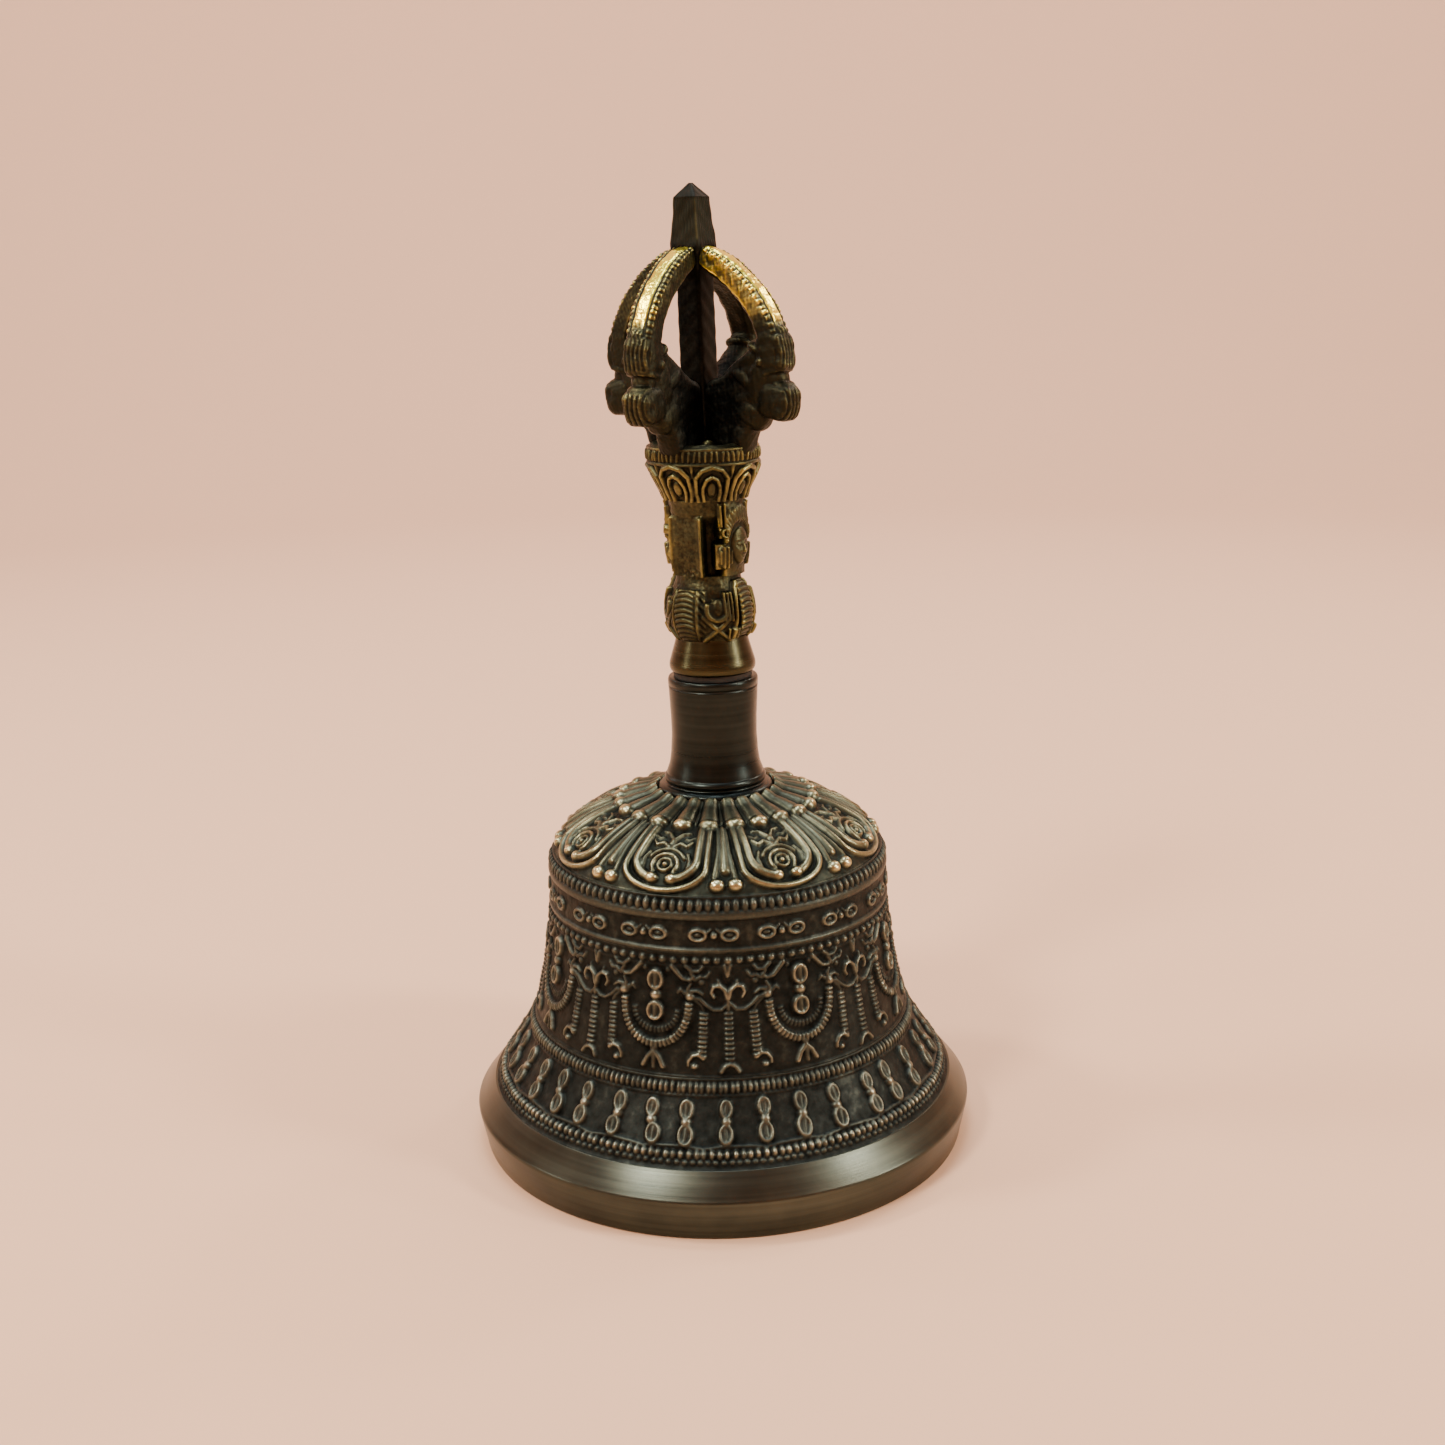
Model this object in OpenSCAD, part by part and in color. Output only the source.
// Tibetan hand bell (drilbu): a cast bronze bell on a turned neck, with a cast half-vajra handle,
// and a clapper that hangs inside the bell from a ring. Millimetres, +Z up.
// The origin is the centre of the rim's flat underside, which is what the bell stands on.

/* [Bell] */
// Diameter across the rim's sharp edge
rim_d = 95; // [80:1:114]
// Height of the rim's upright edge
rim_edge_h = 7.4; // [5:0.1:9]
// How far the rim's edge leans in at its foot
rim_lean = 1.5; // [0:0.1:2.5]
// Diameter at the top of the plain lip
lip_d = 88.8; // [74:0.2:106]
// Height of the top of the plain lip
lip_z = 11.2; // [10:0.1:13]
// Diameter where the flare ends and the waist starts
belt_d = 71.2; // [64:0.2:86]
// Height where the flare ends and the waist starts
belt_z = 26; // [20:0.5:32]
// Diameter at the shoulder
shoulder_d = 63.6; // [56:0.2:76]
// Height at which the wall turns into the shoulder
shoulder_z = 53.5; // [50:0.5:64]
// Rise of the shoulder's dome, if it ran on to the axis
dome_rise = 14.6; // [12:0.1:17.5]
// Thickness of the bell's wall
wall_t = 2.8; // [2:0.1:3.6]
// Thickness of the lip at the rim
lip_t = 4.5; // [3:0.1:5.6]
// Height of the row of beads over the lip
row_lip_z = 14; // [13:0.1:16]
// Height of the row of beads under the garlands
row_belt_z = 23.6; // [20:0.1:27]
// Height of the row of beads over the garlands
row_waist_z = 45.3; // [42:0.1:48]
// Rise of the row of beads round the dome over the shoulder
row_dome_rise = 1.6; // [0.8:0.1:3]
// Radius of the raised cords that stand for the rows of beads
cord_r = 0.7; // [0.4:0.1:1]

/* [Neck] */
// Diameter of the lower ring of the neck's foot
neck_foot_d = 21.2; // [18:0.2:25]
// Diameter of the upper ring of the neck's foot
neck_ring_d = 18.8; // [17:0.2:22]
// Diameter of the neck at its narrowest
neck_waist_d = 15.6; // [13:0.2:17.6]
// Diameter of the neck at its top
neck_top_d = 16.6; // [15.6:0.2:18.6]
// Height of the neck
neck_h = 21.6; // [18:0.2:26]

/* [Seat] */
// Diameter of the black packing ring under the handle
seat_d = 14.4; // [12:0.2:15.4]
// Thickness of the packing ring
seat_t = 0.9; // [0.6:0.1:1.5]

/* [Handle] */
// Turn of the handle on the bell, from the bell's own front
handle_turn = 52.5; // [0:0.5:90]
// Diameter of the handle's foot
foot_d = 15.6; // [14.8:0.2:18]
// Height of the flared foot
foot_h = 5.6; // [4:0.2:7]
// Diameter of the round lobe over the foot
lobe_d = 16.4; // [15:0.2:19]
// Height of the lobe
lobe_h = 12.8; // [11:0.2:15]
// Diameter of the shaft between the lobe and the lotus
shaft_d = 13.6; // [12.8:0.2:16]
// Height of the shaft with the heads
shaft_h = 13.4; // [12:0.2:16]
// Diameter of the lotus at its top band
lotus_d = 19.8; // [18:0.2:24]
// Height of the lotus
lotus_h = 13; // [11:0.2:16]
// Width of the upright slots between the heads and the side bars
slot_w = 2.8; // [2:0.1:3.2]
// Radius of the heads on the shaft
head_r = 3.5; // [3:0.1:4]
// Reach of the prongs, from the axis to their outside
prong_reach = 20; // [18:0.2:23]
// Height of the prongs, from the lotus to where they meet the spire
prong_h = 29.6; // [26:0.2:36]
// Width of each prong
prong_w = 5.4; // [4:0.1:6]
// Thickness of each prong
prong_t = 3.8; // [3:0.1:4.6]
// Width of the spire's flat at the prongs' tips
spire_w = 5.6; // [5:0.1:6.4]
// Width of the spire's flat under its point
spire_tip_w = 4.4; // [3.6:0.1:5]
// Height of the spire over the prongs' tips
spire_h = 8.8; // [7:0.1:14]
// Height of the spire's point
point_h = 2.4; // [1.5:0.1:4]

/* [Hanger] */
// Diameter of the eyebolt's shank
bolt_d = 6; // [5:0.1:7.2]
// Depth of the shank's hole in the handle
handle_bore_h = 11; // [8:0.2:11.4]
// Thickness of the washer
washer_t = 1.2; // [1:0.1:2]
// Diameter of the washer
washer_d = 14; // [12:0.2:17]
// Thickness of the nut
nut_t = 5; // [4:0.1:6]
// Width of the nut across its flats
nut_af = 10; // [9:0.1:11]
// Bare shank between the nut and the eye
bolt_bare = 1; // [0.5:0.1:2]
// Radius of the eye, to the middle of its wire
eye_r = 3.6; // [3.2:0.1:4.4]
// Radius of the eye's wire
eye_wire = 1.3; // [1:0.1:1.5]

/* [Clapper] */
// Radius of the ring, to the middle of its wire
ring_r = 4.2; // [4:0.1:5.1]
// Radius of the ring's wire
ring_wire = 1.2; // [1:0.1:1.3]
// Radius of the rod's eye, to the middle of its wire
rod_eye_r = 3.2; // [3:0.1:3.6]
// Radius of the rod and of its eye's wire
rod_r = 1.2; // [1:0.1:1.3]
// Length from the rod eye's bearing to the bob's centre
clapper_len = 33; // [28:0.5:34]
// Radius of the bob
bob_r = 8; // [6:0.1:8.4]
// Length of the bob's taper over its round end
bob_taper = 11; // [8:0.5:13]

/* [Fits] */
// Radial clearance of the shank in the parts that it passes through
shank_clear = 0.1; // [0.05:0.05:0.3]
// Radial clearance of the bob on its rod
bob_clear = 0.03; // [0.02:0.01:0.08]
// Gap between two hooked wires where they bear
hook_gap = 0.08; // [0.05:0.01:0.1]
// Flat of the crown left round the neck's foot
crown_margin = 0.3; // [0.1:0.1:1]

/* [Hidden] */
$fn = 96;

bronze = [0.36, 0.30, 0.22];
brass = [0.72, 0.56, 0.30];
black = [0.06, 0.05, 0.05];
steel = [0.55, 0.55, 0.56];
steps = 18; // straight steps in each curved stretch of an outline
cut = 0.01; // overrun of a cut past the face that it opens

// Bell: outside and inside
rim_r = rim_d / 2;
lip_r = lip_d / 2;
belt_r = belt_d / 2;
shoulder_r = shoulder_d / 2;
mouth_r = rim_r - rim_lean - lip_t;
flare_power = 1.3; // how fast the flare dies out upwards
waist_power = 1.9; // how fast the waist straightens upwards
bore_r = bolt_d / 2 + shank_clear;
crown_r = neck_foot_d / 2 + crown_margin;
crown_z = ellipse_z(crown_r, shoulder_r, dome_rise);
ceiling_r = washer_d / 2 + crown_margin;
ceiling_z = ellipse_z(ceiling_r, shoulder_r - wall_t, dome_rise - wall_t);
row_dome_r = shoulder_r * sqrt(1 - pow(row_dome_rise / dome_rise, 2));

// Height of the dome at a radius
function ellipse_z(r, a, b) = shoulder_z + b * sqrt(1 - pow(r / a, 2));
// Radius of the bell's outside at a height: the flare, then the waist
function wall_r(z) = z < belt_z
    ? belt_r + (lip_r - belt_r) * pow(1 - (z - lip_z) / (belt_z - lip_z), flare_power)
    : shoulder_r + (belt_r - shoulder_r) * pow(1 - (z - belt_z) / (shoulder_z - belt_z), waist_power);
// Thickness of the wall at a height: it grows down the flare to the lip
function thickness(z) = wall_t + (lip_t - wall_t) * max(0, belt_z - z) / (belt_z - lip_z);
// Heights of the outline's points up the wall, from the lip to the shoulder
wall_heights = [for (i = [0 : 2 * steps]) lip_z + (shoulder_z - lip_z) * i / (2 * steps)];
// Outline points over the dome, from the shoulder in to a radius
function dome_points(a, b, r_end) = [
    for (i = [1 : steps])
        let (t = i / steps * acos(r_end / a)) [a * cos(t), shoulder_z + b * sin(t)]
];
// Points of an elliptical arc
function arc_points(cx, cz, a, b, t0, t1) = [
    for (i = [0 : steps])
        let (t = t0 + (t1 - t0) * i / steps) [cx + a * cos(t), cz + b * sin(t)]
];
function reversed(list) = [for (i = [len(list) - 1 : -1 : 0]) list[i]];

// Stack of the neck, the seat and the handle
neck_z = crown_z;
seat_z = neck_z + neck_h;
handle_z = seat_z + seat_t;
lobe_z = handle_z + foot_h;
shaft_z = lobe_z + lobe_h;
lotus_z = shaft_z + shaft_h;
prong_z = lotus_z + lotus_h;
spire_z = prong_z + prong_h;
point_z = spire_z + spire_h;
top_z = point_z + point_h;

// Hanger, ring and clapper
washer_z = ceiling_z - washer_t;
nut_z = washer_z - nut_t;
eye_z = nut_z - bolt_bare - eye_wire - eye_r;
ring_axis_z = eye_z - eye_r;
ring_z = ring_axis_z + eye_wire + ring_wire + hook_gap - ring_r;
clapper_axis_z = ring_z - ring_r;
rod_eye_z = clapper_axis_z + ring_wire + rod_r + hook_gap - rod_eye_r;
bob_z = clapper_axis_z - clapper_len;

// A ring of round wire, lying flat about the Z axis
module wire_ring(r, wire) {
    rotate_extrude() translate([r, 0]) circle(r = wire, $fn = 32);
}

module bell_shell() {
    outside = concat([[rim_r - rim_lean, 0], [rim_r, rim_edge_h]], [for (z = wall_heights) [wall_r(z), z]],
        dome_points(shoulder_r, dome_rise, crown_r), [[bore_r, crown_z]]);
    inside = concat([[mouth_r, 0]], [for (z = wall_heights) [wall_r(z) - thickness(z), z]],
        dome_points(shoulder_r - wall_t, dome_rise - wall_t, ceiling_r), [[bore_r, ceiling_z]]);
    color(bronze) {
        rotate_extrude() polygon(concat(outside, reversed(inside)));
        for (z = [row_lip_z, row_belt_z, row_waist_z])
            translate([0, 0, z]) wire_ring(wall_r(z), cord_r);
        translate([0, 0, shoulder_z + row_dome_rise]) wire_ring(row_dome_r, cord_r);
    }
}

module neck_collar() {
    foot_ring = 1.1; // radius of the lower ring's round edge
    top_ring = 0.8; // radius of the upper ring's round edge
    upper_z = neck_z + 2.6;
    stem_z = upper_z + 1.4;
    stem_h = seat_z - stem_z;
    stem_sag = neck_top_d / 2 - neck_waist_d / 2;
    color(bronze) difference() {
        rotate_extrude() {
            polygon(concat(
                [[0, neck_z], [neck_foot_d / 2 - foot_ring, neck_z], [neck_foot_d / 2 - foot_ring, neck_z + 1]],
                [[neck_ring_d / 2 - top_ring, upper_z], [neck_top_d / 2, stem_z]],
                arc_points(neck_top_d / 2, stem_z + stem_h / 2, -stem_sag, stem_h / 2, -90, 90),
                [[0, seat_z]]
            ));
            translate([neck_foot_d / 2 - foot_ring, neck_z + foot_ring]) circle(r = foot_ring, $fn = 32);
            translate([neck_ring_d / 2 - top_ring, upper_z]) circle(r = top_ring, $fn = 32);
        }
        translate([0, 0, neck_z - cut]) cylinder(h = neck_h + 2 * cut, r = bore_r);
    }
}

module seat_ring() {
    color(black) translate([0, 0, seat_z]) difference() {
        cylinder(h = seat_t, d = seat_d);
        translate([0, 0, -cut]) cylinder(h = seat_t + 2 * cut, r = bore_r);
    }
}

// One side of the foot, lobe, shaft and lotus, as turned about the axis
function shaft_outline() = concat(
    [[0, handle_z], [foot_d / 2, handle_z], [foot_d / 2, handle_z + foot_h * 0.25],
        [shaft_d / 2 - 0.2, lobe_z]],
    arc_points(shaft_d / 2 - 0.3, lobe_z + lobe_h / 2, (lobe_d - shaft_d) / 2 + 0.3, lobe_h / 2, -80, 80),
    [[shaft_d / 2 - 0.3, shaft_z], [shaft_d / 2, shaft_z + shaft_h / 2], [shaft_d / 2, lotus_z]],
    [[shaft_d / 2 + 1, lotus_z + 1], [lotus_d / 2, lotus_z + lotus_h * 0.55]],
    [[lotus_d / 2, lotus_z + lotus_h * 0.7], [lotus_d / 2 - 0.5, prong_z], [0, prong_z]]
);

// A prong and the beast's head at its root, seen from the side
module prong_outline() {
    hub = spire_w / 2 - 0.8;
    gape_z = prong_z + 6; // corner of the beast's open mouth
    jaw_r = prong_reach - 1.8;
    arch_z = prong_z + 5.6; // widest level of the prong's arch
    arch_h = spire_z - arch_z;
    polygon(concat(
        [[0, prong_z - 0.5], [lotus_d / 2 - 0.5, prong_z - 0.5]],
        arc_points(jaw_r - 3.2, prong_z + 3, 3.2, 2.6, -70, 60),
        [[jaw_r - 3, gape_z]],
        [[prong_reach + 0.3, gape_z + 1]],
        arc_points(hub, arch_z, prong_reach - hub, arch_h, 12, 90),
        [[0, spire_z], [0, spire_z - prong_t]],
        reversed(arc_points(hub, arch_z + 1, prong_reach - hub - prong_t, arch_h - prong_t, 20, 90)),
        [[jaw_r - 7, prong_z + 8], [jaw_r - 10, prong_z + 3.5], [spire_w / 2 + 1, prong_z + 1.5],
            [0, prong_z + 1.5]]
    ));
}

// The square spire and its point, as one face's outline
module spire_outline() {
    half = spire_w / 2;
    tip = spire_tip_w / 2;
    polygon([[-half, prong_z], [half, prong_z], [half, spire_z], [tip, point_z], [0.3, top_z],
        [-0.3, top_z], [-tip, point_z], [-half, spire_z]]);
}

module upright(width) {
    rotate([90, 0, 0]) linear_extrude(width, center = true) children();
}

module vajra_handle() {
    slot_floor = bolt_d / 2 + 1.2;
    slot_z = shaft_z - 4.4;
    slot_h = lotus_z - 1.6 - slot_z;
    head_z = shaft_z + shaft_h / 2 + 0.6;
    color(brass) rotate([0, 0, handle_turn]) difference() {
        union() {
            difference() {
                rotate_extrude() polygon(shaft_outline());
                for (a = [45 : 90 : 315]) rotate([0, 0, a]) {
                    translate([slot_floor, -slot_w / 2, slot_z]) cube([lobe_d, slot_w, slot_h]);
                    translate([slot_floor, 0, slot_z]) rotate([0, 90, 0]) cylinder(h = lobe_d, d = slot_w);
                }
            }
            for (side = [-1, 1])
                translate([0, side * (shaft_d / 2 - head_r + 0.8), head_z]) sphere(r = head_r);
            for (a = [0 : 90 : 270]) rotate([0, 0, a]) upright(prong_w) prong_outline();
            intersection() {
                upright(2 * spire_w) spire_outline();
                rotate([0, 0, 90]) upright(2 * spire_w) spire_outline();
            }
        }
        translate([0, 0, handle_z - cut]) cylinder(h = handle_bore_h + cut, r = bore_r);
    }
}

module hanger_eyebolt() {
    shank_z = eye_z + eye_r;
    shank_end = handle_z + handle_bore_h - shank_clear;
    color(steel) {
        translate([0, 0, eye_z]) rotate([90, 0, 0]) wire_ring(eye_r, eye_wire);
        translate([0, 0, shank_z]) cylinder(h = nut_z - shank_z, r = eye_wire + 0.6);
        translate([0, 0, nut_z - bolt_bare / 2]) cylinder(h = shank_end - nut_z + bolt_bare / 2, d = bolt_d);
    }
}

module crown_washer() {
    color(steel) translate([0, 0, washer_z]) difference() {
        cylinder(h = washer_t, d = washer_d);
        translate([0, 0, -cut]) cylinder(h = washer_t + 2 * cut, r = bore_r);
    }
}

module crown_nut() {
    color(steel) translate([0, 0, nut_z]) difference() {
        cylinder(h = nut_t, r = nut_af / 2 / cos(30), $fn = 6);
        translate([0, 0, -cut]) cylinder(h = nut_t + 2 * cut, r = bore_r);
    }
}

module clapper_ring() {
    color(steel) translate([0, 0, ring_z]) rotate([0, 90, 0]) wire_ring(ring_r, ring_wire);
}

module clapper_rod() {
    rod_top = rod_eye_z - rod_eye_r;
    rod_end = bob_z - bob_r;
    color(steel) {
        translate([0, 0, rod_eye_z]) rotate([90, 0, 0]) wire_ring(rod_eye_r, rod_r);
        translate([0, 0, rod_end]) cylinder(h = rod_top - rod_end, r = rod_r);
    }
}

module clapper_bob() {
    bob_neck = rod_r + 1.4; // radius at the top of the taper
    color(bronze) difference() {
        rotate_extrude() polygon(concat(
            [[0, bob_z - bob_r]],
            arc_points(0, bob_z, bob_r, bob_r, -90, 35),
            [[bob_neck, bob_z + bob_taper], [0, bob_z + bob_taper]]
        ));
        translate([0, 0, bob_z - bob_r - cut])
            cylinder(h = bob_r + bob_taper + 2 * cut, r = rod_r + bob_clear);
    }
}

bell_shell();
neck_collar();
seat_ring();
vajra_handle();
hanger_eyebolt();
crown_washer();
crown_nut();
clapper_ring();
clapper_rod();
clapper_bob();
